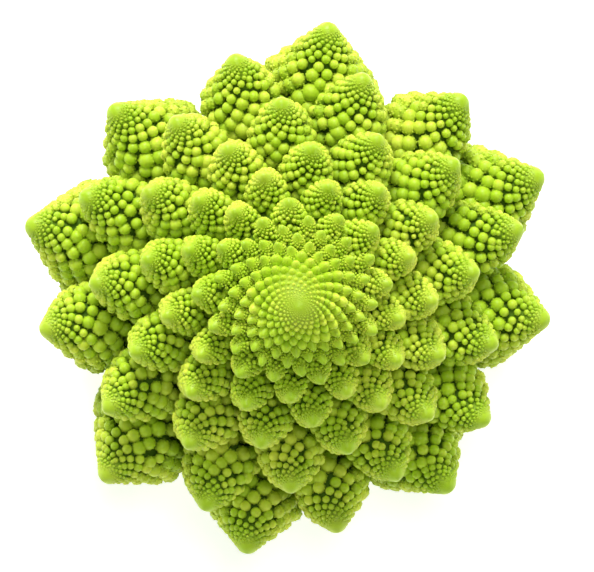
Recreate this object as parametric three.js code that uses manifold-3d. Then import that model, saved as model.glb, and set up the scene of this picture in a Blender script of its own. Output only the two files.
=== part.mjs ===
// Romanesco head, cut square at the foot of its stalk and standing on that cut face.
// A tapering stalk carries one branch for each floret, set in a golden-angle spiral from the rim
// inwards, and ends in the crown, where the youngest florets are still joined round the growing tip.
// Frame: +Z up, origin at the centre of the cut face. Lengths are in millimetres, angles in degrees.

import * as THREE from 'three';
import { mergeVertices } from 'three/addons/utils/BufferGeometryUtils.js';
import Module from 'manifold-3d';

// The head's outline
const headRadius = 82; // axis to the tip of the outermost floret
const headHeight = 124; // cut face to the growing tip
const crownSlope = 0.62; // fall of the outline for each millimetre out, beside the growing tip
const rimSlope = 1.3; // the same fall at the rim
const tipRounding = 5; // how far out the growing tip stays rounded
const crownLean = 5.7; // how far the growing tip leans off the stalk's axis
const leanBearing = 279;

// The spiral
const floretCount = 56; // florets that are branches of their own
const crownFloretCount = 30; // younger florets, joined in the crown
const divergence = 137.67; // turn from each floret to the next one in
const firstBearing = 252.5; // bearing of the outermost floret
const halfRadiusIndex = 40.2; // the floret that stands halfway in
const tighteningPower = 1.65; // how sharply the spiral closes
const swing = [5.7, 3.3]; // one-sided and two-sided crowding of the rim, as turns
const swingBearing = [235, 87];
const ovalness = 0.025; // the plan is longer by this share along ovalBearing
const ovalBearing = 33;

// The florets
const rimConeLength = 33; // tip to shoulder on the outermost floret
const coneShrinkPower = 0.9; // cone length falls with the tip's distance from the axis
const coneHalfAngle = 37;
const coneTipShare = 0.1; // rounding of a cone's tip, as a share of its length
const branchRadius = 5; // a floret's own stalk, where it leaves the main stalk
const crownLift = 57; // elevation of the crown florets' axes
const coneSides = 12;
const crownConeSides = 8;

// The stalk and the crown's foot
const stalkRadius = 24;
const stalkTopRadius = 8;
const crownDepth = 40; // the growing tip down to the stalk's top
const stalkHeight = headHeight - crownDepth;
const stalkTaperPower = 2.2;
const cutEdge = 1.2; // softened edge round the cut face
const firstBranchHeight = 17; // where the outermost floret's branch leaves the stalk
const lastBranchDrop = 13; // the stalk's top down to the innermost one's
const lastBranchHeight = stalkHeight - lastBranchDrop;
const crownRadius = 25; // the crown's solid middle, under its florets
const crownBedDepth = 9; // how far that middle lies below the head's outline

const clearance = 0.3; // gap between pieces that touch
const finestDetail = 0.02; // smaller slivers left by the cuts are merged away
const roundSides = 40;

const florets = floretCount + crownFloretCount;
const radians = THREE.MathUtils.degToRad;

const wasm = await Module();
wasm.setup();
const { Manifold, Mesh: ManifoldMesh } = wasm;

// Height of the head's outline: its slope grows from crownSlope to rimSlope with the radius squared.
function outlineHeight(radius) {
  const reach = Math.hypot(radius, tipRounding) - tipRounding;
  const steepening = (rimSlope - crownSlope) / (3 * headRadius ** 2);
  return headHeight - crownSlope * reach - steepening * reach ** 3;
}

function stalkRadiusAt(height) {
  const taper = Math.min(Math.max(height / stalkHeight, 0), 1) ** stalkTaperPower;
  return stalkRadius - (stalkRadius - stalkTopRadius) * taper;
}

function spiralRadius(index) {
  return headRadius / (1 + (index / halfRadiusIndex) ** tighteningPower);
}

// A grown head isn't even: the rim's florets crowd a little to one side, and the plan is slightly oval.
function spiralBearing(index) {
  const bearing = firstBearing + divergence * index;
  const share = spiralRadius(index) / headRadius;
  const oneSided = swing[0] * Math.cos(radians(bearing - swingBearing[0]));
  const twoSided = swing[1] * Math.cos(radians(2 * (bearing - swingBearing[1])));
  return bearing + share * (oneSided + twoSided);
}

function onBearing(bearing, radius, height) {
  const turn = radians(bearing);
  return new THREE.Vector3(radius * Math.cos(turn), radius * Math.sin(turn), height);
}

// The head leans towards its tip, from the last branch up, by the square of the height.
function leaned(point) {
  const climb = Math.max(point.z - lastBranchHeight, 0) / (headHeight - lastBranchHeight);
  return point.add(onBearing(leanBearing, crownLean * climb ** 2, 0));
}

// Where one floret's tip and root are, which way it points and how long its cone is.
function floretFrame(index) {
  const even = spiralRadius(index);
  const bearing = spiralBearing(index);
  const oval = 1 + ovalness * Math.cos(radians(2 * (bearing - ovalBearing)));
  const tip = leaned(onBearing(bearing, even * oval, outlineHeight(even)));
  const innermost = spiralRadius(floretCount - 1);
  let root;
  if (index < floretCount) {
    const inward = (headRadius - even) / (headRadius - innermost);
    const height = firstBranchHeight + (lastBranchHeight - firstBranchHeight) * inward;
    root = onBearing(bearing, stalkRadiusAt(height), height);
  } else {
    root = leaned(new THREE.Vector3(0, 0, tip.z - even * Math.tan(radians(crownLift))));
  }
  const axis = tip.clone().sub(root).normalize();
  const coneLength = rimConeLength * (even / headRadius) ** coneShrinkPower;
  const shoulderRadius = coneLength * Math.tan(radians(coneHalfAngle));
  const middle = tip.clone().addScaledVector(axis, -coneLength / 2);
  return { tip, root, axis, bearing, coneLength, shoulderRadius, middle };
}

function solidFrom(geometry) {
  geometry.deleteAttribute('normal');
  geometry.deleteAttribute('uv');
  const merged = mergeVertices(geometry, 1e-4);
  const vertProperties = Float32Array.from(merged.attributes.position.array);
  const triVerts = Uint32Array.from(merged.index.array);
  return new Manifold(new ManifoldMesh({ numProp: 3, vertProperties, triVerts }));
}

// A lathe turned about +Z from [radius, height] pairs that run from the bottom up.
function turned(profile, sides) {
  const points = profile.map(([radius, height]) => new THREE.Vector2(radius, height));
  return new THREE.LatheGeometry(points, sides).rotateX(Math.PI / 2);
}

// A floret is a round-tipped cone that narrows again behind its shoulder to its branch.
function floretSolid(frame, sides) {
  const { tip, root, axis, coneLength, shoulderRadius } = frame;
  const tipRadius = coneTipShare * coneLength;
  const reach = tip.distanceTo(root) + branchRadius;
  const slant = radians(coneHalfAngle);
  const profile = [
    [0, -reach],
    [branchRadius * Math.min(1, coneLength / reach), -reach],
    [shoulderRadius * 0.86, -coneLength * 1.22],
    [shoulderRadius, -coneLength],
    [tipRadius * Math.cos(slant), -tipRadius * (1 - Math.sin(slant))],
    [0, 0],
  ];
  const geometry = turned(profile, sides);
  const upright = new THREE.Vector3(0, 0, 1);
  geometry.applyQuaternion(new THREE.Quaternion().setFromUnitVectors(upright, axis));
  geometry.translate(tip.x, tip.y, tip.z);
  return solidFrom(geometry);
}

// Two florets that would meet are both cut back from one plane between the middles of their cones.
// The plane stands nearer the smaller one.
function trimmed(solid, frame, others) {
  let result = solid;
  for (const other of others) {
    const across = frame.middle.clone().sub(other.middle);
    const distance = across.length();
    if (distance > frame.coneLength + other.coneLength) {
      continue;
    }
    across.normalize();
    const bias = (other.shoulderRadius ** 2 - frame.shoulderRadius ** 2) / (2 * distance);
    const between = other.middle.clone().addScaledVector(across, distance / 2 + bias);
    result = result.trimByPlane(across.toArray(), across.dot(between) + clearance / 2);
  }
  return result;
}

function stalkProfile(offset) {
  const profile = [[0, -offset], [stalkRadius - cutEdge + offset, -offset], [stalkRadius + offset, cutEdge]];
  const rings = 9;
  for (let ring = 1; ring <= rings; ring += 1) {
    const height = cutEdge + ((stalkHeight - cutEdge) * ring) / rings;
    profile.push([stalkRadiusAt(height) + offset, height]);
  }
  profile.at(-1)[1] += offset;
  profile.push([0, stalkHeight + offset]);
  return profile;
}

// The crown's middle widens from the stalk's top and then follows the head's outline from below.
function crownProfile(offset) {
  const foot = stalkHeight + clearance;
  const profile = [[0, foot - offset], [stalkTopRadius + offset, foot - offset]];
  const rings = 7;
  for (let ring = 0; ring < rings; ring += 1) {
    const radius = crownRadius * (1 - ring / rings);
    const bed = crownBedDepth * (radius / crownRadius);
    profile.push([radius + offset, outlineHeight(radius) - bed + (ring ? offset : 0)]);
  }
  profile.push([0, headHeight + offset]);
  return profile;
}

function crownBed(offset) {
  const geometry = turned(crownProfile(offset), roundSides);
  const { position } = geometry.attributes;
  for (let vertex = 0; vertex < position.count; vertex += 1) {
    const point = leaned(new THREE.Vector3().fromBufferAttribute(position, vertex));
    position.setXYZ(vertex, point.x, point.y, point.z);
  }
  return solidFrom(geometry);
}

function finish(name, solid, color, roughness) {
  const { vertProperties, triVerts } = solid.getMesh();
  const geometry = new THREE.BufferGeometry();
  geometry.setAttribute('position', new THREE.BufferAttribute(Float32Array.from(vertProperties), 3));
  geometry.setIndex(new THREE.BufferAttribute(Uint32Array.from(triVerts), 1));
  geometry.computeVertexNormals();
  const material = new THREE.MeshStandardMaterial({ color, roughness, metalness: 0 });
  const mesh = new THREE.Mesh(geometry, material);
  mesh.name = name;
  return mesh;
}

const head = new THREE.Group();
const frames = Array.from({ length: florets }, (_, index) => floretFrame(index));
const stalkRoom = solidFrom(turned(stalkProfile(clearance), roundSides));
const crownRoom = crownBed(clearance);

head.add(finish('stalk', solidFrom(turned(stalkProfile(0), roundSides)), '#cdd8a0', 0.6));

frames.slice(0, floretCount).forEach((frame, index) => {
  const others = frames.filter((other) => other !== frame);
  const cut = trimmed(floretSolid(frame, coneSides), frame, others).subtract(stalkRoom).subtract(crownRoom);
  const name = `floret_${String(index + 1).padStart(2, '0')}`;
  head.add(finish(name, cut.simplify(finestDetail), '#9dbb34', 0.45));
});

let crown = crownBed(0);
for (const frame of frames.slice(floretCount)) {
  const bud = trimmed(floretSolid(frame, crownConeSides), frame, frames.slice(0, floretCount));
  crown = crown.add(bud.subtract(stalkRoom));
}
head.add(finish('crown', crown.simplify(finestDetail), '#8fb030', 0.5));

export default head;
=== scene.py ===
"""A romanesco head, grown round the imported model: beaded florets, crown and cut stalk.

Every bud-covered surface is worked out with numpy. A floret's wall is a function of the distance
back from its tip and the angle round its axis; its buds stand on that wall in a golden-angle spiral.
"""

import math
from functools import partial
from typing import NamedTuple

import bpy
import numpy as np
from bpy.props import FloatProperty, FloatVectorProperty, IntProperty, PointerProperty
from bpy.types import Operator, Panel, PropertyGroup
from mathutils import Matrix, Vector


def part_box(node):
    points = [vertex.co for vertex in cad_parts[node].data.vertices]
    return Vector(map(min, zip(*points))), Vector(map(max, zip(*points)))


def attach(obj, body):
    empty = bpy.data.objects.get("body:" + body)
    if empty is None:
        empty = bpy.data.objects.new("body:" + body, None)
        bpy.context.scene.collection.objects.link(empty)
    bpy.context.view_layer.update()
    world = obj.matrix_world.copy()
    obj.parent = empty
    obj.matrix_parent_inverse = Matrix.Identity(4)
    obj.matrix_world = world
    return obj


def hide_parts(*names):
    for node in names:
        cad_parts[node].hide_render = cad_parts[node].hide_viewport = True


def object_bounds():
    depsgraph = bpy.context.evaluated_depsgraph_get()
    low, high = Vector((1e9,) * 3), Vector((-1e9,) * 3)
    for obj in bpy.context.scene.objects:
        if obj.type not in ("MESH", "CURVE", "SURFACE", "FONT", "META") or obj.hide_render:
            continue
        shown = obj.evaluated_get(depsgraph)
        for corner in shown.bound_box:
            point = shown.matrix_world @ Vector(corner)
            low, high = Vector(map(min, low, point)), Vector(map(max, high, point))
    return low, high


bl_info = {
    "name": "Romanesco Head",
    "version": (1, 0, 0),
    "blender": (4, 5, 0),
    "location": "View3D > Sidebar > Romanesco",
    "description": "Grows a beaded romanesco head and its studio round the packed model",
    "category": "Add Mesh",
}

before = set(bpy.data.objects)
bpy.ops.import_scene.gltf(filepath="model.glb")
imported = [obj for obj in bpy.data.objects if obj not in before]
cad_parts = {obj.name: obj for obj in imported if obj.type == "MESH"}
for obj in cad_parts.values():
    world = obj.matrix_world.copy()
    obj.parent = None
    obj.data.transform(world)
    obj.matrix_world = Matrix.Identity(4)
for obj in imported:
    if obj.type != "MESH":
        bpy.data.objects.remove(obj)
cad_low, cad_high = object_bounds()
stalk_low, stalk_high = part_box("stalk")

MM = 0.001
GOLDEN_TURN = math.radians(137.50776)
TILE_FILL = 0.96  # share of a map tile's side that is used

# Florets
CROWN_SLOPE = math.radians(35)  # the outline's mean slope in the crown
RING_FILL = 2.3  # a ring's area over its florets' squared spacings
CROWN_CONE = 1.19  # a crown floret's cone length over its spacing
UPRIGHT_WITHIN = 5 * MM  # crown florets turn upright this near the growing tip
ROOT_OVERLAP = 1.5 * MM  # how far a branch runs into the stalk
BRANCH_FILL = 1.6  # how soon a branch is thinner where its cone is short
SHOULDER_BULGE = 1.04
NARROWEST = 0.08  # least share of its free radius that neighbours leave a floret
SIDE_ON = 0.02  # a plane that faces away from a spoke more than this doesn't cut it

# Buds
BUD_PACKING = 0.93  # a bud's share of the wall over its squared spacing
YOUNG = 0.05, 0.35  # from the first share of the cone's length to the second, youth fades
BUD_LEAN = 0.18  # how far buds lean towards the floret's tip
BUD_SINK = 0.40  # depth of a bud's middle under the wall, over its spacing
OUTER_SINK = 0.12  # more of it on smooth outer sides
CROWDED = 0.42  # no buds where neighbours leave less than this of the free radius
BACK_JITTER, TURN_JITTER, WIDTH_JITTER, EDGE_JITTER = 0.012, 0.045, 0.085, 0.12
TINY_BELOW, SMALL_BELOW, KNOBS_BELOW = 1.4 * MM, 2.6 * MM, 3.3 * MM  # bud widths
GRAINED_SIDE, LARGE_GRAINED_SIDE = 0.25, 0.6  # cosine of the angle from the crown-facing side
DEEP_SHADE = 0.42  # painted shade, partly the buds' own deeper green: how much darker the deepest buds are


# ---- Settings ----


def amount(name, description, default, unit="NONE", scale=1.0):
    return FloatProperty(name=name, description=description, default=default * scale, unit=unit)


def whole(name, description, default):
    return IntProperty(name=name, description=description, default=default)


def tint(name, description, default):
    return FloatVectorProperty(name=name, description=description, subtype="COLOR", default=default)


metres = partial(amount, unit="LENGTH")
millimetres = partial(amount, unit="LENGTH", scale=MM)
degrees = partial(amount, unit="ROTATION", scale=math.radians(1))
watts = partial(amount, unit="POWER")


class HeadSettings(PropertyGroup):
    """The head's outline and the spiral of its florets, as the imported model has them."""

    radius: millimetres("Radius", "Axis to the outermost floret tip", 82)
    height: metres("Height", "Cut face to growing tip", cad_high[2])
    crown_slope: amount("Crown Slope", "Fall of the outline beside the tip", 0.62)
    rim_slope: amount("Rim Slope", "Fall of the outline at the rim", 1.3)
    tip_rounding: millimetres("Tip Rounding", "How far out the tip stays round", 5)
    crown_lean: millimetres("Crown Lean", "How far the tip leans", 5.7)
    lean_bearing: degrees("Lean Bearing", "Where the tip leans to", 279)
    floret_count: whole("Florets", "Florets that are branches of their own", 56)
    beaded_crown_count: whole("Beaded Crown Florets", "Crown florets that carry buds", 66)
    plain_crown_count: whole("Plain Crown Florets", "Youngest florets, still smooth", 272)
    crown_closing: amount("Crown Closing", "Share of its radius that each floret moves in", 0.0085)
    crown_settling: amount("Crown Settling", "Florets over which the spiral changes to it", 14)
    divergence: degrees("Divergence", "Turn to the next floret", 137.67)
    first_bearing: degrees("First Bearing", "Bearing of the outermost floret", 252.5)
    half_radius_index: amount("Halfway Floret", "The floret that stands halfway in", 40.2)
    tightening: amount("Tightening", "How sharply the spiral closes", 1.65)
    one_sided_swing: degrees("One-Sided Swing", "Crowding of the rim to one side", 5.7)
    one_sided_bearing: degrees("One-Sided Bearing", "Where it is felt", 235)
    two_sided_swing: degrees("Two-Sided Swing", "Crowding of the rim to two sides", 3.3)
    two_sided_bearing: degrees("Two-Sided Bearing", "Where it is felt", 87)
    ovalness: amount("Ovalness", "Share by which the plan is longer", 0.025)
    oval_bearing: degrees("Oval Bearing", "Where the plan is longer", 33)


class FloretSettings(PropertyGroup):
    """One floret's cone and the buds on it."""

    cone_length: millimetres("Cone Length", "Tip to shoulder at the rim", 33)
    shrink: amount("Shrink", "How cone length falls inwards", 0.9)
    half_angle: degrees("Half Angle", "Between axis and wall", 37)
    tip_share: amount("Tip Rounding", "Share of the cone's length", 0.085)
    branch_radius: millimetres("Branch Radius", "Where it leaves the stalk", 5)
    crown_lift: degrees("Crown Lift", "Elevation of crown florets", 50)
    clearance: millimetres("Clearance", "Gap between the largest florets", 2.2)
    crown_foot_gap: millimetres("Crown Foot Gap", "Stalk's top to the crown's foot", 0.3)
    outer_smoothness: amount("Outer Smoothness", "How much shallower the outer buds stand", 0.5)
    bud_spacing: amount("Bud Spacing", "Share of the distance from the tip", 0.28)
    bud_fill: amount("Bud Fill", "Bud width over bud spacing", 0.99)
    finest_bud: millimetres("Finest Bud", "Spacing where the buds start", 0.65)
    largest_bud: millimetres("Largest Bud", "Widest spacing of buds", 6.1)
    grain_from: millimetres("Grains From", "Bud width that carries grains", 2.45)
    collar_from: millimetres("Collar From", "Smooth bud width with a collar", 3.85)
    seed: whole("Seed", "Start of the random draws", 7)


class StalkSettings(PropertyGroup):
    """The main stalk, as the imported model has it, with its leaf scars."""

    radius: metres("Radius", "At the cut face", (stalk_high[0] - stalk_low[0]) / 2)
    top_radius: millimetres("Top Radius", "Under the crown", 8)
    height: metres("Height", "Cut face to crown", stalk_high[2])
    taper: amount("Taper", "Power of the taper", 2.2)
    cut_edge: millimetres("Cut Edge", "Softening round the cut", 1.2)
    first_branch: millimetres("First Branch", "Height of the lowest branch", 17)
    last_branch: millimetres("Last Branch", "Height of the highest branch", 71)
    scar_count: whole("Leaf Scars", "Where trimmed leaves stood", 9)


class ColourSettings(PropertyGroup):
    """Surface colours of the head."""

    lit: tint("Bud", "Top of a bud", (0.465, 0.695, 0.024))
    sunlit: tint("Sunlit Bud", "Buds on the outside", (0.78, 0.84, 0.09))
    # Painted shade: the dark green put in the gaps between buds.
    gap: tint("Gap", "Between buds", (0.060, 0.140, 0.001))
    tip: tint("Floret Tip", "Youngest buds", (0.34, 0.56, 0.020))
    pale: tint("Branch", "Stalks and branches", (0.56, 0.68, 0.27))
    cut: tint("Cut Face", "Fresh cut flesh", (0.78, 0.80, 0.52))
    blush: tint("Blush", "Weathered tips", (0.42, 0.24, 0.05))
    vessel: tint("Vessels", "Dots on the cut face", (0.36, 0.44, 0.14))


class StageSettings(PropertyGroup):
    """Floor, lights and camera."""

    floor_radius: metres("Floor Radius", "Where the floor starts to curve up", 2.4)
    wall_height: metres("Wall Height", "Height of the curved wall", 1.6)
    key_power: watts("Key", "Key light", 58)
    side_power: watts("Sides", "Low lights round the head", 3.5)
    overhead_power: watts("Overhead", "Small light above", 6)
    sky: amount("Surround", "Light from all round", 0.08)
    floor_glow: amount("Floor Glow", "Light from the floor", 0.6)
    camera_distance: metres("Camera Distance", "From the rim's level", 1.1)
    lens: amount("Lens", "Focal length in millimetres", 220.4)


# ---- Surfaces ----


class Surface(NamedTuple):
    """A closed surface, or several together, as whole arrays.

    points is V x 3, corners the vertex number at each face corner, sizes the corners in each face,
    uv one place per corner, and growth V x 4: painted light, by how far out of the gaps
    a point stands, so that the gaps have painted shade; how pale; how young; and a tone, random, with
    painted light added on a floret's outward side.
    """

    points: np.ndarray
    corners: np.ndarray
    sizes: np.ndarray
    uv: np.ndarray
    growth: np.ndarray


def joined(surfaces):
    """Several surfaces as one: arrays end to end, each one's corners moved past the last's points."""
    starts = np.cumsum([0] + [len(each.points) for each in surfaces[:-1]])
    moved = [each._replace(corners=each.corners + start) for each, start in zip(surfaces, starts)]
    return Surface(*(np.concatenate(arrays) for arrays in zip(*moved)))


def columns(*values):
    """Numbers and arrays, broadcast together, as the last axis of one array."""
    return np.stack(np.broadcast_arrays(*values), -1)


def unit(vectors):
    """Each vector over its length."""
    return vectors / np.linalg.norm(vectors, axis=-1, keepdims=True)


def growth_of(painted_light, pallor=0.0, youth=0.0, tone=0.0):
    return columns(painted_light, pallor, youth, tone)


def map_corners(*places):
    """The places in the map of each face's corners, in the faces' own order."""
    return np.stack([columns(*place) for place in places], -2)


def on_bearing(bearing, radius, height):
    """Points at a radius from the axis, on a bearing from +X, at a height."""
    return columns(radius * np.cos(bearing), radius * np.sin(bearing), height)


def turns_round(sides):
    """Equal steps of angle round a circle."""
    return np.arange(sides) * 2 * np.pi / sides


def closed_grid(rings, tip, base, growth, tip_growth, base_growth):
    """Closes a grid of rings, R x S x 3, with one point at its tip and one at its base.

    A quad joins ring r to ring r + 1 at every step round, and a fan of triangles closes each end.
    The angle runs anticlockwise about the direction of the tip, which turns every face outwards.
    """
    count, sides = rings.shape[:2]
    ring, side = np.meshgrid(np.arange(count - 1), np.arange(sides), indexing="ij")
    here, beside = ring * sides + side, ring * sides + (side + 1) % sides
    quads = columns(here + sides, beside + sides, beside, here)
    first, second = np.arange(sides), (np.arange(sides) + 1) % sides
    tip_number, base_start = count * sides, (count - 1) * sides
    tip_fan = columns(first, second, tip_number)
    base_fan = columns(base_start + second, base_start + first, tip_number + 1)
    # In the map, u goes round and v from tip to base, with a row more at each end for the fans.
    rows = count + 1
    low, high, upper, lower = side / sides, (side + 1) / sides, (ring + 1) / rows, (ring + 2) / rows
    quad_uv = map_corners((low, lower), (high, lower), (high, upper), (low, upper))
    left, right, far = first / sides, (first + 1) / sides, (rows - 1) / rows
    middle = (left + right) / 2
    tip_uv = map_corners((left, 1 / rows), (right, 1 / rows), (middle, 0))
    base_uv = map_corners((right, far), (left, far), (middle, 1))
    return Surface(
        np.concatenate([rings.reshape(-1, 3), [tip, base]]),
        np.concatenate([faces.ravel() for faces in (quads, tip_fan, base_fan)]),
        np.repeat([4, 3], [here.size, 2 * sides]),
        np.concatenate([places.reshape(-1, 2) for places in (quad_uv, tip_uv, base_uv)]),
        np.concatenate([growth.reshape(-1, 4), [tip_growth, base_growth]]),
    )


def smooth_step(value, low, high):
    """0 below low, 1 above high; between, three times the share squared less twice its cube."""
    share = np.clip((value - low) / (high - low), 0, 1)
    return share * share * (3 - 2 * share)


def ball(angles, sides):
    """A unit ball about its own +Z: radius sin(angle) and height cos(angle), for each polar angle.

    Its painted light is a smooth step of the height, so its lower side has painted shade, and its base
    is slightly flat.
    """
    angles = np.radians(angles)[:, None]
    rings = on_bearing(turns_round(sides), np.sin(angles), np.cos(angles))
    growth = growth_of(smooth_step(rings[..., 2], -0.35, 0.75))
    return closed_grid(rings, (0, 0, 1), (0, 0, -0.9), growth, (1, 0, 0, 0), (0, 0, 0, 0))


def tiles(count, left, bottom, width, height):
    """Left, bottom, width and height of count equal tiles in a box of the map, row by row."""
    files = max(1, math.ceil(math.sqrt(count * width / height)))
    rows = max(1, math.ceil(count / files))
    number = np.arange(count)
    across = left + width * (number % files) / files
    up = bottom + height * (number // files) / rows
    return columns(across, up, width / files * TILE_FILL, height / rows * TILE_FILL)


def stamped(shape, places, axes, scales, growth, spots):
    """Copies of a shape: each copy's points are its place plus its axes times the scaled shape.

    places is N x 3, axes N x 3 x 3 with the shape's own x, y and z as columns, scales N x 3, spots
    the copies' tiles of the map, and growth N x 4: painted light multiplies the shape's,
    the rest adds.
    """
    count, size = len(places), len(shape.points)
    scaled = shape.points[None] * scales[:, None]
    points = places[:, None] + np.einsum("nij,nvj->nvi", axes, scaled)
    corners = shape.corners[None] + (np.arange(count) * size)[:, None]
    uv = spots[:, None, :2] + shape.uv[None] * spots[:, None, 2:]
    grown = np.repeat(shape.growth[None], count, 0)
    grown[:, :, 0] *= growth[:, None, 0]
    grown[:, :, 1:] += growth[:, None, 1:]
    return Surface(points.reshape(-1, 3), corners.ravel(), np.tile(shape.sizes, count),
                   uv.reshape(-1, 2), grown.reshape(-1, 4))


def axes_along(direction, roll):
    """Right-handed axes, N x 3 x 3, whose z is each direction, turned about it by roll."""
    helper = np.where(np.abs(direction[:, 2:3]) < 0.9, [[0.0, 0.0, 1.0]], [[1.0, 0.0, 0.0]])
    side = unit(np.cross(helper, direction))
    other = np.cross(direction, side)
    cosine, sine = np.cos(roll)[:, None], np.sin(roll)[:, None]
    return np.stack([side * cosine + other * sine, other * cosine - side * sine, direction], -1)


def grained(core, grain, angles, width, rise):
    """A bud that carries younger grains: they stand on the core in a golden-angle spiral.

    Grain n stands at its own polar angle and n golden turns round; its width follows the sine of
    half that angle, so that the grains grow away from the tip. rise is how far they stand out.
    """
    number = np.arange(len(angles))
    polar, turn = np.radians(angles), number * GOLDEN_TURN
    direction = on_bearing(turn, np.sin(polar), np.cos(polar))
    size = width * (0.45 + np.sin(polar / 2))
    places = direction * (1.0 - size * (1 - rise))[:, None]
    # Grains low on the bud get painted shade.
    growth = growth_of(smooth_step(direction[:, 2], -0.5, 0.4))
    grains = stamped(grain, places, axes_along(direction, turn), np.repeat(size[:, None], 3, 1),
                     growth, tiles(len(angles), 0, 0.2, 1, 0.8))
    # The core between the grains is painted a little darker: painted shade.
    body = core._replace(uv=core.uv * [1, 0.19], growth=core.growth * [0.85, 1, 1, 1])
    return joined([body, grains])


GRAIN = ball([64], 5)
FINE_BUD = ball([42, 92], 5)
SMALL_BUD = ball([34, 70, 112], 7)
BUD = ball([25, 52, 80, 108, 140], 10)
GRAINED_BUD = grained(SMALL_BUD, GRAIN, 14 + 96 * (np.arange(26) / 25) ** 0.62, 0.215, 0.42)
KNOBBED_BUD = grained(SMALL_BUD, ball([64], 4), 18 + 88 * (np.arange(15) / 14) ** 0.62, 0.28, 0.42)
COLLARED_BUD = grained(BUD, GRAIN, np.linspace(62, 112, 20), 0.18, 0.40)
COLLARED_BUD.growth[: len(BUD.points)] = BUD.growth
# Each kind of bud, and the room that it needs in the map.
BUD_KINDS = ((FINE_BUD, 1), (SMALL_BUD, 2), (BUD, 4),
             (COLLARED_BUD, 12), (KNOBBED_BUD, 8), (GRAINED_BUD, 12))


def placed(name, data):
    """A new object in the scene."""
    made = bpy.data.objects.new(name, data)
    bpy.context.scene.collection.objects.link(made)
    return made


def add_piece(name, surface, material, node):
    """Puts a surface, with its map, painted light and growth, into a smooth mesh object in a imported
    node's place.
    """
    mesh = bpy.data.meshes.new(name)
    faces = len(surface.sizes)
    mesh.vertices.add(len(surface.points))
    mesh.vertices.foreach_set("co", surface.points.astype(np.float32).ravel())
    mesh.loops.add(len(surface.corners))
    mesh.loops.foreach_set("vertex_index", surface.corners.astype(np.int32))
    mesh.polygons.add(faces)
    starts = np.concatenate([[0], np.cumsum(surface.sizes)[:-1]])
    mesh.polygons.foreach_set("loop_start", starts.astype(np.int32))
    mesh.polygons.foreach_set("use_smooth", np.ones(faces, bool))
    mesh.update(calc_edges=True)
    layer = mesh.uv_layers.new(name="OFBake")
    layer.uv.foreach_set("vector", surface.uv.astype(np.float32).ravel())
    for column, title in enumerate(("painted_light", "pallor", "youth", "tone")):
        attribute = mesh.attributes.new(title, "FLOAT", "POINT")
        attribute.data.foreach_set("value", surface.growth[:, column].astype(np.float32))
    mesh.materials.append(material)
    piece = placed(name, mesh)
    if mesh.validate():
        raise RuntimeError(f"{name} has faces that Blender had to mend")
    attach(piece, "root")
    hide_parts(node)


# ---- The head's frame ----


class Florets:
    """Tips, axes and sizes of the florets with the given numbers, as arrays."""

    def __init__(self, number):
        head, floret, stalk = settings("head"), settings("floret"), settings("stalk")
        number = np.asarray(number, float)
        even, closing = spiral_radius(head, number)
        bearing = spiral_bearing(head, number, even)
        oval = 1 + head.ovalness * np.cos(2 * (bearing - head.oval_bearing))
        level = outline_height(head, even)
        self.tip = leaned(head, stalk, on_bearing(bearing, even * oval, level))
        innermost = spiral_radius(head, np.array(head.floret_count - 1.0))[0]
        inward = (head.radius - even) / (head.radius - innermost)
        height = stalk.first_branch + (stalk.last_branch - stalk.first_branch) * inward
        branch_root = on_bearing(bearing, stalk_radius(stalk, height), height)
        drop = even * np.tan(head_lift(floret, even))
        axis_root = leaned(head, stalk, on_bearing(bearing, 0.0, level - drop))
        is_branch = number < head.floret_count
        axis = self.tip - np.where(is_branch[:, None], branch_root, axis_root)
        self.reach = np.linalg.norm(axis, axis=1)
        self.axis = axis / self.reach[:, None]
        # Each floret has the ring's area over the florets in it; a crown floret's cone follows that.
        self.spacing = even * np.sqrt(RING_FILL * np.pi * closing / math.cos(CROWN_SLOPE))
        branch_length = floret.cone_length * (even / head.radius) ** floret.shrink
        self.length = np.where(is_branch, branch_length, CROWN_CONE * self.spacing)
        self.shoulder = self.length * math.tan(floret.half_angle)
        self.middle = self.tip - self.axis * (self.length / 2)[:, None]
        # The side that faces the crown: across the axis, in the upright plane that holds it.
        self.inner = unit(np.array([0.0, 0.0, 1.0]) - self.axis * self.axis[:, 2:3])
        self.across = np.cross(self.axis, self.inner)


def settings(name):
    return getattr(bpy.context.scene, f"romanesco_{name}")


def outline_height(head, radius):
    """Height of the head's outline: its fall steepens with the square of the radius."""
    reach = np.hypot(radius, head.tip_rounding) - head.tip_rounding
    steepening = (head.rim_slope - head.crown_slope) / (3 * head.radius**2)
    return head.height - head.crown_slope * reach - steepening * reach**3


def spiral_radius(head, number):
    """Radius of each floret's tip, and the share of it by which the next floret stands further in.

    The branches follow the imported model's law. In the crown that share settles to a constant one.
    """
    power = (np.minimum(number, head.floret_count) / head.half_radius_index) ** head.tightening
    branch = head.radius / (1 + power)
    early = head.tightening / head.floret_count * power / (1 + power)
    beyond = np.maximum(number - head.floret_count, 0)
    settled = np.exp(-beyond / head.crown_settling)
    fall = head.crown_closing * beyond
    fall = fall + (early - head.crown_closing) * head.crown_settling * (1 - settled)
    closing = head.crown_closing + (early - head.crown_closing) * settled
    return np.where(beyond > 0, branch * np.exp(-fall), branch), closing


def spiral_bearing(head, number, radius):
    """One divergence for each floret, plus the rim's one-sided and two-sided crowding."""
    beyond = np.maximum(number - head.floret_count, 0)
    bearing = head.first_bearing + head.divergence * (number - beyond) + GOLDEN_TURN * beyond
    one_sided = head.one_sided_swing * np.cos(bearing - head.one_sided_bearing)
    two_sided = head.two_sided_swing * np.cos(2 * (bearing - head.two_sided_bearing))
    return bearing + radius / head.radius * (one_sided + two_sided)


def leaned(head, stalk, points):
    """The head leans towards its tip, from the last branch up, by the square of the height."""
    climb = np.maximum(points[..., 2] - stalk.last_branch, 0) / (head.height - stalk.last_branch)
    return points + on_bearing(head.lean_bearing, head.crown_lean * climb**2, 0.0)


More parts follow.
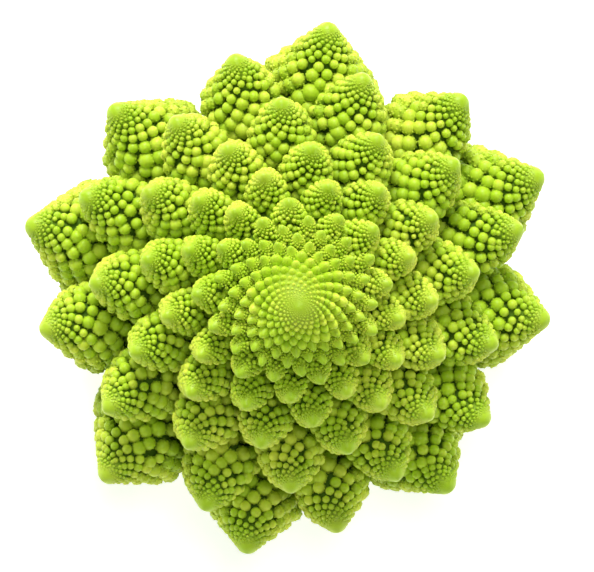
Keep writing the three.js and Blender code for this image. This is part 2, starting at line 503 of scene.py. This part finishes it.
def stalk_radius(stalk, height):
    """The stalk's taper: it narrows by a power of the height."""
    taper = np.clip(height / stalk.height, 0, 1) ** stalk.taper
    return stalk.radius - (stalk.radius - stalk.top_radius) * taper


def head_lift(floret, radius):
    """Elevation of the crown florets' axes: it rises to upright near the growing tip."""
    upright = 0.5 * math.pi - 0.02  # just off the vertical, where the tangent is still finite
    near_tip = np.exp(-((radius / UPRIGHT_WITHIN) ** 2))
    return floret.crown_lift + (upright - floret.crown_lift) * near_tip


def cutting_planes(florets, one, among):
    """The planes that keep a floret off the others, among so many, as outward normals and offsets.

    Each stands between the middles of two cones, nearer the smaller one.
    """
    others = np.delete(np.arange(among), one)
    across = florets.middle[others] - florets.middle[one]
    distance = np.linalg.norm(across, axis=1)
    near = distance < florets.shoulder[one] + florets.shoulder[others]
    across, distance, others = across[near], distance[near], others[near]
    normal = across / distance[:, None]
    bias = (florets.shoulder[one] ** 2 - florets.shoulder[others] ** 2) / (2 * distance)
    floret = settings("floret")
    clearance = floret.clearance * florets.length[one] / floret.cone_length
    offset = (normal * florets.middle[one]).sum(1) + distance / 2 + bias - clearance / 2
    return normal, offset


class Wall:
    """One floret's wall: a point for each distance back from the tip and angle round the axis.

    The radius is a round-tipped cone, met behind the shoulder by a second cone that narrows to the
    branch, and held inside the planes shared with the neighbours. The three are blended by adding
    their inverse powers, so that the edges between them are round. Angle 0 faces the crown.
    """

    blend = 7.0

    def __init__(self, florets, one, planes):
        floret = settings("floret")
        self.tip, self.axis = florets.tip[one], florets.axis[one]
        self.inner, self.across = florets.inner[one], florets.across[one]
        self.length, self.shoulder = florets.length[one], florets.shoulder[one]
        self.reach = florets.reach[one] + ROOT_OVERLAP
        self.half_angle = floret.half_angle
        self.round = floret.tip_share * self.length
        self.branch = floret.branch_radius * min(1.0, self.length / self.reach * BRANCH_FILL)
        self.normals, self.offsets = planes

    def cone(self, back):
        """The free radius at each distance back from the tip: the two cones, blended."""
        bow = self.round * (1 - math.sin(self.half_angle))
        dome = np.sqrt(np.maximum(self.round**2 - (self.round - np.minimum(back, bow)) ** 2, 1e-14))
        cone = dome + np.maximum(back - bow, 0) * math.tan(self.half_angle)
        share = np.clip((self.reach - back) / (self.reach - self.length), 0, None)
        behind = self.branch + (SHOULDER_BULGE * self.shoulder - self.branch) * share
        return (cone**-self.blend + behind**-self.blend) ** (-1 / self.blend)

    def at(self, back, angle):
        """Points on the wall, and how much of the free radius the neighbours leave."""
        back, angle = np.broadcast_arrays(back, angle)
        free = self.cone(back)
        spoke = np.cos(angle)[..., None] * self.inner + np.sin(angle)[..., None] * self.across
        centre = self.tip - back[..., None] * self.axis
        room = self.offsets - centre @ self.normals.T
        facing = spoke @ self.normals.T
        limit = np.where(facing > SIDE_ON, room / np.maximum(facing, SIDE_ON), np.inf)
        limit = np.maximum(limit, free[..., None] * NARROWEST)
        radius = (free**-self.blend + (limit**-self.blend).sum(-1)) ** (-1 / self.blend)
        return centre + radius[..., None] * spoke, radius / free

    def youth(self, back):
        """1 at the tip, falling to 0 down the cone."""
        return 1 - smooth_step(back, YOUNG[0] * self.length, YOUNG[1] * self.length)

    def normal_at(self, back, angle):
        """Outward normals, from the cross product of the wall's two slopes."""
        step, turn = 0.02 * self.length, 0.03
        start = np.maximum(back, step * 0.05)
        along = self.at(start + step, angle)[0] - self.at(np.maximum(start - step, 1e-5), angle)[0]
        round_it = self.at(start, angle + turn)[0] - self.at(start, angle - turn)[0]
        return -unit(np.cross(round_it, along))


def bud_spacing(floret, wall, back):
    """Bud spacing at a distance back from the tip: it grows with the slant, up to a limit."""
    free = floret.bud_spacing * (back / math.cos(wall.half_angle))
    limit = floret.largest_bud * (wall.length / floret.cone_length) ** 0.5
    return (np.maximum(free, 1e-6) ** -6 + limit**-6) ** (-1 / 6)


def outwardness(angle):
    """0 on the side of a floret that faces the crown, 1 on its flanks and outside."""
    return 1 - smooth_step(np.cos(angle), -0.25, 0.55)


def bud_places(floret, wall, finest, last):
    """Distances back of the buds: where the wall above holds as many buds of their spacing."""
    back = np.linspace(0.02 * wall.length, last, 400)
    spacing = bud_spacing(floret, wall, back)
    band = 2 * np.pi * wall.cone(back) / math.cos(wall.half_angle)
    density = np.where(spacing >= finest, band / (BUD_PACKING * spacing**2), 0)
    counted = np.concatenate([[0], np.cumsum((density[1:] + density[:-1]) / 2 * np.diff(back))])
    start = np.argmax(density > 0)
    return np.interp(np.arange(int(counted[-1])) + 0.5, counted[start:], back[start:])


def core_surface(wall, floret, last, rows, sides, closes):
    """The flesh under the buds: the wall sunk by part of the bud spacing, to nothing at the tip.

    closes is true where the surface runs on past the last bud and narrows to the branch.
    """
    end = wall.reach if closes else last
    back = (0.012 + np.linspace(0, 1, rows + 1)[1:] ** 1.35 * 0.988) * end
    back, angle = np.meshgrid(back, turns_round(sides), indexing="ij")
    spacing = bud_spacing(floret, wall, back)
    started = smooth_step(spacing, 0.7 * floret.finest_bud, 3.6 * floret.finest_bud)
    covered = 1 - smooth_step(back, last * 0.98, last * 1.2) if closes else 1.0
    outer = outwardness(angle)
    sunk = (0.14 + 0.42 * started) * spacing * smooth_step(back, 0, 0.1 * wall.length) * covered
    sunk = sunk * (1 - floret.outer_smoothness * outer)
    points = wall.at(back, angle)[0] - wall.normal_at(back, angle) * sunk[..., None]
    bare = 1 - covered * np.ones_like(back)
    # Painted shade: the flesh under the buds is darker, less so on the outer side, and bare branch
    # stays lighter. The tone adds painted light on the outward side.
    painted_light = np.maximum(1 - (0.95 - 0.4 * outer) * started, 0.55 * bare)
    pallor = bare * 0.95
    growth = growth_of(painted_light, pallor, wall.youth(back), 0.5 + 0.7 * outer)
    base = wall.tip - wall.axis * end
    return closed_grid(points, wall.tip, base, growth, (1, 0, 1, 0.5), (0.3, pallor[-1, 0], 0, 0.5))


def floret_surface(florets, one, among, draws, finest, beaded, closes):
    """A whole floret: its flesh, and on it every bud in golden-angle order from the tip down."""
    floret = settings("floret")
    wall = Wall(florets, one, cutting_planes(florets, one, among))
    last = wall.length * beaded
    back = bud_places(floret, wall, finest, last)
    count = len(back)
    angle = draws.uniform(0, 2 * np.pi) + np.arange(count) * GOLDEN_TURN
    back = back * (1 + draws.normal(0, BACK_JITTER, count))
    angle = angle + draws.normal(0, TURN_JITTER, count)
    points, room = wall.at(back, angle)
    normal = wall.normal_at(back, angle)
    spacing = bud_spacing(floret, wall, back) * (1 + draws.normal(0, WIDTH_JITTER, count))
    spacing = spacing * np.clip(room, 0.45, 1) ** 0.6
    kept = room > CROWDED
    back, angle, points, normal, spacing = (
        each[kept] for each in (back, angle, points, normal, spacing))
    count = len(back)
    width = floret.bud_fill * spacing
    outer = outwardness(angle)
    depth = (BUD_SINK + OUTER_SINK * floret.outer_smoothness * outer) * spacing
    places = points - normal * depth[:, None]
    axes = axes_along(unit(normal + BUD_LEAN * wall.axis), draws.uniform(0, 2 * np.pi, count))
    # The tone is random, plus painted light on the outward side.
    tone = draws.uniform(0, 1, count) + 0.7 * outer
    # Buds deep between the florets are painted darker: painted shade, partly their own deeper green.
    shade = DEEP_SHADE * smooth_step(back, YOUNG[1] * wall.length, wall.length)
    growth = growth_of(1 - shade, 0.0, wall.youth(back), tone)
    # Buds that face the crown stay smooth; the ones on the flanks and outside carry grains.
    facing = np.cos(angle) + draws.normal(0, EDGE_JITTER, count)
    grain_from = floret.grain_from * (1.0 if closes else 1.12)
    grains = (width > grain_from) & (facing < GRAINED_SIDE)
    grains |= (width > 1.25 * floret.collar_from) & (facing < LARGE_GRAINED_SIDE)
    knobs = grains & ((width < KNOBS_BELOW) | (not closes))
    rules = [knobs, grains, width > floret.collar_from, width < TINY_BELOW, width < SMALL_BELOW]
    kind = np.select(rules, [4, 5, 3, 0, 1], 2)  # their places in BUD_KINDS
    half_width = width / 2
    scales = columns(half_width, half_width, half_width * np.where(grains, 1.16, 1.06))
    rows, sides = (30, 36) if closes else (8, 10)
    return core_surface(wall, floret, last, rows, sides, closes), [
        (shape, places[kind == n], axes[kind == n], scales[kind == n], growth[kind == n], weight)
        for n, (shape, weight) in enumerate(BUD_KINDS) if (kind == n).any()]


def laid_out(cores, stamps):
    """Joins cores and stamped buds; each group gets a band of the map as tall as its share."""
    core_weight = 60.0 * len(cores)
    total = core_weight + sum(len(stamp[1]) * stamp[5] for stamp in stamps)
    level = core_weight / total
    parts = []
    for core, spot in zip(cores, tiles(len(cores), 0, 0, 1, level)):
        parts.append(core._replace(uv=spot[:2] + core.uv * spot[2:]))
    for shape, places, axes, scales, growth, weight in stamps:
        height = len(places) * weight / total
        parts.append(stamped(shape, places, axes, scales, growth,
                             tiles(len(places), 0, level, 1, height)))
        level += height
    return joined(parts)


# ---- Materials ----


def arithmetic(operation, reflected=False):
    """A method that adds the Math node of one operator, or of its reflected form."""

    def apply(self, other):
        return self.maths(operation, other, self) if reflected else self.maths(operation, self, other)

    return apply


class Value:
    """A number in a node tree. Arithmetic on it adds Math nodes."""

    __add__, __radd__ = arithmetic("ADD"), arithmetic("ADD", True)
    __sub__, __rsub__ = arithmetic("SUBTRACT"), arithmetic("SUBTRACT", True)
    __mul__, __rmul__ = arithmetic("MULTIPLY"), arithmetic("MULTIPLY", True)

    def __init__(self, graph, socket):
        self.graph = graph
        self.socket = socket

    def maths(self, operation, *terms):
        node = self.graph.add("ShaderNodeMath", {"operation": operation}, dict(enumerate(terms)))
        return Value(self.graph, node.outputs[0])

    def step(self, low, high):
        """0 below low, 1 above high, and a smooth step between."""
        node = self.graph.add("ShaderNodeMapRange", {"interpolation_type": "SMOOTHSTEP"},
                              {"Value": self, "From Min": low, "From Max": high})
        return Value(self.graph, node.outputs["Result"])


class Graph:
    """A material's node tree, with one method for every node."""

    def __init__(self, name):
        self.material = bpy.data.materials.new(name)
        self.material.use_nodes = True
        self.tree = self.material.node_tree
        self.tree.nodes.clear()

    def add(self, kind, options=None, inputs=None):
        """A node of this type: its settings are made first, then its sockets filled or linked."""
        node = self.tree.nodes.new(kind)
        for key, value in (options or {}).items():
            setattr(node, key, value)
        for key, value in (inputs or {}).items():
            socket = node.inputs[key]
            value = getattr(value, "socket", value)
            if isinstance(value, bpy.types.NodeSocket):
                self.tree.links.new(value, socket)
            else:
                socket.default_value = value
        return node

    def attribute(self, name):
        return Value(self, self.add("ShaderNodeAttribute", {"attribute_name": name}).outputs["Fac"])

    def place(self):
        return self.add("ShaderNodeTexCoord").outputs["Object"]

    def noise(self, scale, detail):
        node = self.add("ShaderNodeTexNoise", None, {
            "Vector": self.place(), "Scale": scale, "Detail": detail, "Roughness": 0.55})
        return Value(self, node.outputs[0])

    def cells(self, scale):
        node = self.add("ShaderNodeTexVoronoi", None, {"Vector": self.place(), "Scale": scale})
        return Value(self, node.outputs["Distance"])

    def mix(self, share, low, high, blend="MIX"):
        """Colours low and high mixed by share."""
        node = self.add("ShaderNodeMix", {"data_type": "RGBA", "blend_type": blend},
                        {0: share, 6: low, 7: high})
        return node.outputs[2]

    def finish(self, colour, roughness, height, distance, glow):
        """The surface: colour and roughness vary, height is a bump, glow is light under the skin."""
        bump = self.add("ShaderNodeBump", None, {
            "Strength": 0.5, "Distance": distance, "Height": height})
        return self.shaded({
            "Base Color": colour,
            "Roughness": roughness,
            "Normal": bump.outputs[0],
            "Specular IOR Level": 0.26,
            "Subsurface Weight": glow,
            "Subsurface Radius": (0.9 * MM, 1.3 * MM, 0.25 * MM),
            "Subsurface Scale": 1.0,
        })

    def shaded(self, inputs):
        shader = self.add("ShaderNodeBsdfPrincipled", None, inputs)
        self.add("ShaderNodeOutputMaterial", None, {"Surface": shader.outputs[0]})
        return self.material


def rgba(colour, factor=1.0):
    return (*(channel * factor for channel in colour), 1.0)


def bud_material(name, deepening, fill):
    """Waxy buds: deep green painted shade in the gaps, yellow-green on top, greener where they are
    youngest.

    deepening makes the youngest buds greener, and fill lightens the painted shade in the gaps.
    """
    colours = settings("colour")
    graph = Graph(name)
    painted_light, pallor = graph.attribute("painted_light"), graph.attribute("pallor")
    youth, tone = graph.attribute("youth"), graph.attribute("tone")
    drift = graph.noise(26, 2.0)
    mottle = graph.noise(420, 3.0)
    # Painted shade: the gap colour where the painted light is low, the bud colour where it is high.
    lift = (painted_light + (mottle - 0.5) * 0.25 + fill).step(0.05, 1.0)
    skin = graph.mix(lift, rgba(colours.gap), rgba(colours.lit))
    # Painted light: yellower where the buds stand out and on outward sides, with a random drift.
    yellower = (drift + tone * 0.35).step(0.5, 1.1) * 0.75 * lift
    skin = graph.mix(yellower, skin, rgba(colours.sunlit))
    skin = graph.mix(youth * deepening, skin, rgba(colours.tip))
    # Random darker and lighter patches, with painted light on outward sides through the tone.
    darker = (tone - 0.5) * 0.18 + (mottle - 0.5) * 0.30 + 0.5
    shade = graph.mix(darker, (0.80, 0.80, 0.80, 1), (1.16, 1.16, 1.16, 1))
    skin = graph.mix(1.0, skin, shade, "MULTIPLY")
    flesh = graph.mix(mottle, rgba(colours.pale, 0.88), rgba(colours.pale, 1.08))
    skin = graph.mix(pallor, skin, flesh)
    weather = graph.noise(34, 1.0).step(0.74, 0.84) * youth * 0.6
    skin = graph.mix(weather, skin, rgba(colours.blush))
    roughness = 0.30 + mottle * 0.14 + (1 - painted_light) * 0.45
    grain = graph.cells(1500).step(0.0, 0.7)
    height = mottle * 0.6 + (1 - grain) * 0.25
    return graph.finish(skin, roughness, height, 0.25 * MM, 0.18)


def stalk_material():
    """Pale green rind with fine lengthwise fibres, and a cream cut face with a ring of vessels."""
    colours = settings("colour")
    graph = Graph("Stalk flesh")
    painted_light, pallor = graph.attribute("painted_light"), graph.attribute("pallor")
    tone = graph.attribute("tone")
    mottle = graph.noise(150, 4.0)
    stretched = graph.add("ShaderNodeMapping", None, {
        "Vector": graph.place(), "Scale": (1.0, 1.0, 0.12)})
    threads = graph.add("ShaderNodeTexNoise", None, {
        "Vector": stretched.outputs[0], "Scale": 700.0, "Detail": 3.0})
    fibre = Value(graph, threads.outputs[0])
    streaks = (mottle * 0.6 + fibre * 0.4).step(0.3, 0.7)
    rind = graph.mix(streaks, rgba(colours.pale, 0.72), rgba(colours.pale, 1.12))
    # Painted shade: the rind turns dark green in the scar grooves.
    rind = graph.mix((1 - painted_light) * 0.8, rind, rgba(colours.gap, 2.2))
    patches = (mottle * 0.7 + tone * 0.3).step(0.3, 0.7)
    flesh = graph.mix(patches, rgba(colours.cut, 0.86), rgba(colours.cut))
    skin = graph.mix(pallor, rind, flesh)
    vessels = graph.cells(620).step(0.12, 0.3)
    dots = (1 - vessels) * tone.step(0.55, 0.95) * pallor * 0.55
    skin = graph.mix(dots, skin, rgba(colours.vessel))
    return graph.finish(skin, 0.46 + mottle * 0.16, fibre * 0.7 + mottle * 0.3, 0.35 * MM, 0.12)


# ---- Operators ----


class GrowFlorets(Operator):
    """Grow every floret that is a branch of its own"""

    bl_idname = "romanesco.grow_florets"
    bl_label = "Grow Florets"
    crown_neighbours = 30  # crown florets near enough to cut a branch floret
    beaded = 1.08  # buds run down this many cone lengths

    def execute(self, context):
        head, floret = settings("head"), settings("floret")
        among = head.floret_count + self.crown_neighbours
        florets = Florets(np.arange(among))
        material = bud_material("Floret buds", 0.45, 0.0)
        for one in range(head.floret_count):
            draws = np.random.default_rng(floret.seed * 1000 + one)
            core, stamps = floret_surface(
                florets, one, among, draws, floret.finest_bud, self.beaded, True)
            node = f"floret_{one + 1:02d}"
            add_piece(f"{node}_buds", laid_out([core], stamps), material, node)
        return {"FINISHED"}


class GrowCrown(Operator):
    """Grow the crown: its bed, the young beaded florets and the smooth youngest ones"""

    bl_idname = "romanesco.grow_crown"
    bl_label = "Grow Crown"
    finest_bud = 0.7 * MM
    beaded = 1.32  # buds run down this many cone lengths
    bed_edge = 25 * MM
    samples = 400  # florets whose spacing the bed follows

    def execute(self, context):
        head, floret, stalk = settings("head"), settings("floret"), settings("stalk")
        plain_from = head.floret_count + head.beaded_crown_count
        florets = Florets(np.arange(plain_from + head.plain_crown_count))
        draws = np.random.default_rng(floret.seed)
        cores, stamps = [self.bed(head, floret, stalk)], []
        for one in range(head.floret_count, plain_from):
            core, own = floret_surface(
                florets, one, plain_from, draws, self.finest_bud, self.beaded, False)
            cores.append(core)
            stamps.extend(own)
        stamps.append(self.youngest(florets, plain_from, draws))
        surface = laid_out(cores, self.gathered(stamps))
        add_piece("crown_buds", surface, bud_material("Crown buds", 0.6, 0.08), "crown")
        return {"FINISHED"}

    @staticmethod
    def gathered(stamps):
        """Stamps of one shape, together."""
        groups = {}
        for shape, *arrays, weight in stamps:
            groups.setdefault(id(shape), (shape, weight, []))[2].append(arrays)
        return [(shape, *map(np.concatenate, zip(*parts)), weight)
                for shape, weight, parts in groups.values()]

    def bed(self, head, floret, stalk):
        """The crown's flesh: the head's outline turned about its axis, and sunk under its florets.

        Its depth is a fifth of a floret's spacing at the growing tip, and about twice it at the edge.
        """
        edge = self.bed_edge
        top = edge * np.linspace(0.03, 1, 26)
        radius = np.concatenate([top, [edge * 0.8, edge * 0.55, stalk.top_radius]])
        number = np.arange(head.floret_count, head.floret_count + self.samples)
        width = np.interp(top, spiral_radius(head, number)[0][::-1], Florets(number).spacing[::-1])
        depth = 0.2 + 1.9 * smooth_step(top, 2 * MM, 22 * MM)
        height = outline_height(head, top) - depth * width
        foot = stalk.height + floret.crown_foot_gap
        height = np.concatenate([height, [height[-1] - 6 * MM, height[-1] - 11 * MM, foot]])
        sides = 48
        rings = on_bearing(turns_round(sides), radius[:, None], height[:, None])
        spread = np.repeat(radius[:, None], sides, 1)
        youth = 1 - smooth_step(spread, 1.5 * MM, 6 * MM)
        # Painted shade: the bed is darker under the crown florets, out from the growing tip.
        painted_light = np.maximum(youth, 0.5 - 0.4 * smooth_step(spread, 8 * MM, 18 * MM))
        growth = growth_of(painted_light, 0.0, youth, 0.5)
        tip = leaned(head, stalk, np.array([0, 0, head.height]))
        return closed_grid(leaned(head, stalk, rings), tip, (0, 0, foot), growth,
                           (1, 0, 1, 0.5), (0.1, 0, 0, 0.5))

    @staticmethod
    def youngest(florets, first, draws):
        """Smooth drops, one for each of the youngest florets, shrinking to nothing at the tip."""
        number = np.arange(first, len(florets.spacing))
        width = florets.spacing[number] * draws.normal(1.02, 0.05, len(number))
        places = florets.tip[number] - florets.axis[number] * (width * 1.1)[:, None]
        scales = columns(width * 0.5, width * 0.5, width * 1.1)
        axes = axes_along(florets.axis[number], draws.uniform(0, 2 * np.pi, len(number)))
        away = np.linalg.norm(florets.tip[number, :2] - florets.tip[-1, :2], axis=1)
        youth = 1 - smooth_step(away, 1 * MM, 7 * MM)
        growth = growth_of(1.0, 0.0, youth, draws.uniform(0, 1, len(number)))
        return BUD, places, axes, scales, growth, 4


class CutStalk(Operator):
    """Grow the main stalk, with its leaf scars and its cut face"""

    bl_idname = "romanesco.cut_stalk"
    bl_label = "Cut Stalk"
    sides = 160
    rib_depth, flute_depth = 0.25 * MM, 0.35 * MM
    scar_half_width, scar_half_height = 6.5 * MM, 2.6 * MM
    scar_relief, scar_groove = 1.1 * MM, 0.3 * MM
    first_scar, scar_step = 4.5 * MM, 1.35 * MM  # heights of the lowest scar and between two

    def execute(self, context):
        surface = self.surface(settings("stalk"))
        add_piece("stalk_flesh", surface, stalk_material(), "stalk")
        return {"FINISHED"}

    def surface(self, stalk):
        """The taper turned about the axis, with faint ribs and a raised, flat-topped scar per leaf.

        A scar is a bump whose height is a smooth step of the distance from its middle, in a frame
        stretched round the stalk; its flat top is where the leaf was cut away.
        """
        wall_height = np.concatenate([
            np.linspace(stalk.height, 30 * MM, 24), np.linspace(29.3 * MM, stalk.cut_edge, 56)])
        edge = np.linspace(0, np.pi / 2, 6)[1:]
        edge_radius = stalk.radius - stalk.cut_edge * (1 - np.cos(edge))
        face = np.linspace(1, 0, 16)[1:-1] * (stalk.radius - stalk.cut_edge)
        radius = np.concatenate([stalk_radius(stalk, wall_height), edge_radius, face])
        height = np.concatenate([wall_height, stalk.cut_edge * (1 - np.sin(edge)), face * 0])
        on_face = np.ones(len(radius))
        on_face[: len(wall_height) + 3] = 0
        turns = turns_round(self.sides)
        radius, height, on_face = radius[:, None], height[:, None], on_face[:, None]
        ribs = self.rib_depth * np.cos(13 * turns + 40 * height / (30 * MM))
        ribs = ribs + self.flute_depth * np.cos(5 * turns + 1)
        scar, scar_rim = np.zeros_like(radius), np.zeros_like(radius)
        for number in range(stalk.scar_count):
            middle_turn = 1.0 + number * GOLDEN_TURN
            middle_height = self.first_scar + self.scar_step * number
            aside = (turns - middle_turn + np.pi) % (2 * np.pi) - np.pi
            away = np.hypot(aside * stalk.radius / self.scar_half_width,
                            (height - middle_height) / self.scar_half_height)
            scar = np.maximum(scar, 1 - smooth_step(away, 0.78, 1.15))
            groove = smooth_step(away, 0.85, 1.1) * (1 - smooth_step(away, 1.1, 1.5))
            scar_rim = np.maximum(scar_rim, groove)
        fade = smooth_step(height, 0, 2 * stalk.cut_edge) * (1 - on_face)
        radius = radius + fade * (ribs + self.scar_relief * scar - self.scar_groove * scar_rim)
        points = on_bearing(turns, radius, height)
        # Painted shade: darker in the groove round each scar.
        painted_light = 1 - 0.7 * scar_rim * fade
        ring_of_vessels = np.exp(-(((radius / stalk.radius) - 0.8) / 0.07) ** 2)
        pallor = np.maximum(on_face, scar * fade * 0.85)
        tone = np.where(on_face > 0.5, ring_of_vessels, 0.9 * scar)
        growth = growth_of(painted_light, pallor, 0.0, tone)
        top, foot = (0, 0, stalk.height), (0, 0, 0)
        return closed_grid(points, top, foot, growth, (1, 0, 0, 0), (1, 1, 0, 0))


class SetStage(Operator):
    """Set the pale floor, the soft lights and the camera that looks down on the head"""

    bl_idname = "romanesco.set_stage"
    bl_label = "Set Stage"
    head_middle = Vector((0, 0, 0.07))
    side_lights = (("Left", 185), ("Right", 350), ("Front", 268))  # bearings in degrees
    side_distance, side_height = 2.0, 0.8
    soft_width, small_width = 0.9, 0.35

    def execute(self, context):
        stage = settings("stage")
        self.floor(stage)
        self.surround(stage)
        self.light("Key", stage.key_power, self.soft_width, Vector((-0.2, 1.9, 1.45)))
        self.light("Overhead", stage.overhead_power, self.small_width, Vector((0.1, 0.25, 1.6)))
        for name, bearing in self.side_lights:
            turn = math.radians(bearing)
            across, along = self.side_distance * math.cos(turn), self.side_distance * math.sin(turn)
            place = Vector((across, along, self.side_height))
            self.light(name, stage.side_power, self.soft_width, place)
        self.camera(stage)
        context.scene.view_settings.view_transform = "Standard"
        return {"FINISHED"}

    @staticmethod
    def floor(stage):
        """A round floor that curves up into a low wall, as one profile turned about the axis."""
        sides, sweep = 64, np.linspace(0, np.pi / 2, 13)
        radius = np.concatenate([[0.05, 1.0], stage.floor_radius + stage.wall_height * np.sin(sweep)])
        height = np.concatenate([[0, 0], stage.wall_height * (1 - np.cos(sweep))])
        level = cad_low[2] - 0.2 * MM  # just under the cut face
        points = on_bearing(turns_round(sides), radius[:, None], level + height[:, None])
        ring, side = np.meshgrid(np.arange(len(radius) - 1), np.arange(sides), indexing="ij")
        here, beside = ring * sides + side, ring * sides + (side + 1) % sides
        faces = columns(here, here + sides, beside + sides, beside).reshape(-1, 4).tolist()
        faces.append(list(range(sides)))
        mesh = bpy.data.meshes.new("floor")
        mesh.from_pydata(points.reshape(-1, 3).tolist(), [], faces)
        mesh.polygons.foreach_set("use_smooth", np.ones(len(faces), bool))
        floor = placed("floor", mesh)
        graph = Graph("Floor white")
        paper = graph.mix(graph.noise(40, 3.0), (0.90, 0.90, 0.90, 1), (0.93, 0.93, 0.93, 1))
        mesh.materials.append(graph.shaded({
            "Base Color": paper, "Roughness": 0.9,
            "Emission Color": (1, 1, 1, 1), "Emission Strength": stage.floor_glow}))

    @staticmethod
    def surround(stage):
        world = bpy.data.worlds.new("Soft surround")
        world.use_nodes = True
        background = world.node_tree.nodes["Background"]
        background.inputs["Color"].default_value = (1, 1, 1, 1)
        background.inputs["Strength"].default_value = stage.sky
        bpy.context.scene.world = world

    def light(self, name, power, width, place):
        lamp = bpy.data.lights.new(name, "AREA")
        lamp.shape = "SQUARE"
        lamp.size = width
        lamp.energy = power
        rig = placed(name, lamp)
        rig.location = place
        rig.rotation_mode = "QUATERNION"
        rig.rotation_quaternion = (self.head_middle - place).to_track_quat("-Z", "Y")
        rig.visible_camera = False

    @staticmethod
    def camera(stage):
        """Looks down from just off the vertical, with +Y up in the picture."""
        back = Vector((-0.0302, 0.0052, 1.0)).normalized()
        right = Vector((0, 1, 0)).cross(back).normalized()
        up = back.cross(right)
        target = Vector((2.4 * MM, -0.2 * MM, 55 * MM))
        data = bpy.data.cameras.new("Camera")
        data.lens = stage.lens
        data.clip_start, data.clip_end = 0.05, 30
        camera = placed("Camera", data)
        turn = Matrix((right, up, back)).transposed().to_4x4()
        camera.matrix_world = Matrix.Translation(target + back * stage.camera_distance) @ turn
        bpy.context.scene.camera = camera


class RomanescoPanel(Panel):
    """Lists the steps that make the head"""

    bl_idname = "VIEW3D_PT_romanesco"
    bl_label = "Romanesco Head"
    bl_space_type = "VIEW_3D"
    bl_region_type = "UI"
    bl_category = "Romanesco"

    def draw(self, context):
        for operator in OPERATORS:
            self.layout.operator(operator.bl_idname)
        for group in GROUPS:
            box = self.layout.box()
            for name in GROUPS[group].__annotations__:
                box.prop(settings(group), name)


GROUPS = {"head": HeadSettings, "floret": FloretSettings, "stalk": StalkSettings,
          "colour": ColourSettings, "stage": StageSettings}
OPERATORS = (CutStalk, GrowFlorets, GrowCrown, SetStage)
CLASSES = (*GROUPS.values(), *OPERATORS, RomanescoPanel)


def register():
    for each in CLASSES:
        bpy.utils.register_class(each)
    for name, group in GROUPS.items():
        setattr(bpy.types.Scene, f"romanesco_{name}", PointerProperty(type=group))


def unregister():
    for name in GROUPS:
        delattr(bpy.types.Scene, f"romanesco_{name}")
    for each in reversed(CLASSES):
        bpy.utils.unregister_class(each)


def main():
    register()
    bpy.ops.romanesco.cut_stalk()
    bpy.ops.romanesco.grow_florets()
    bpy.ops.romanesco.grow_crown()
    bpy.ops.romanesco.set_stage()


if __name__ == "__main__":
    main()
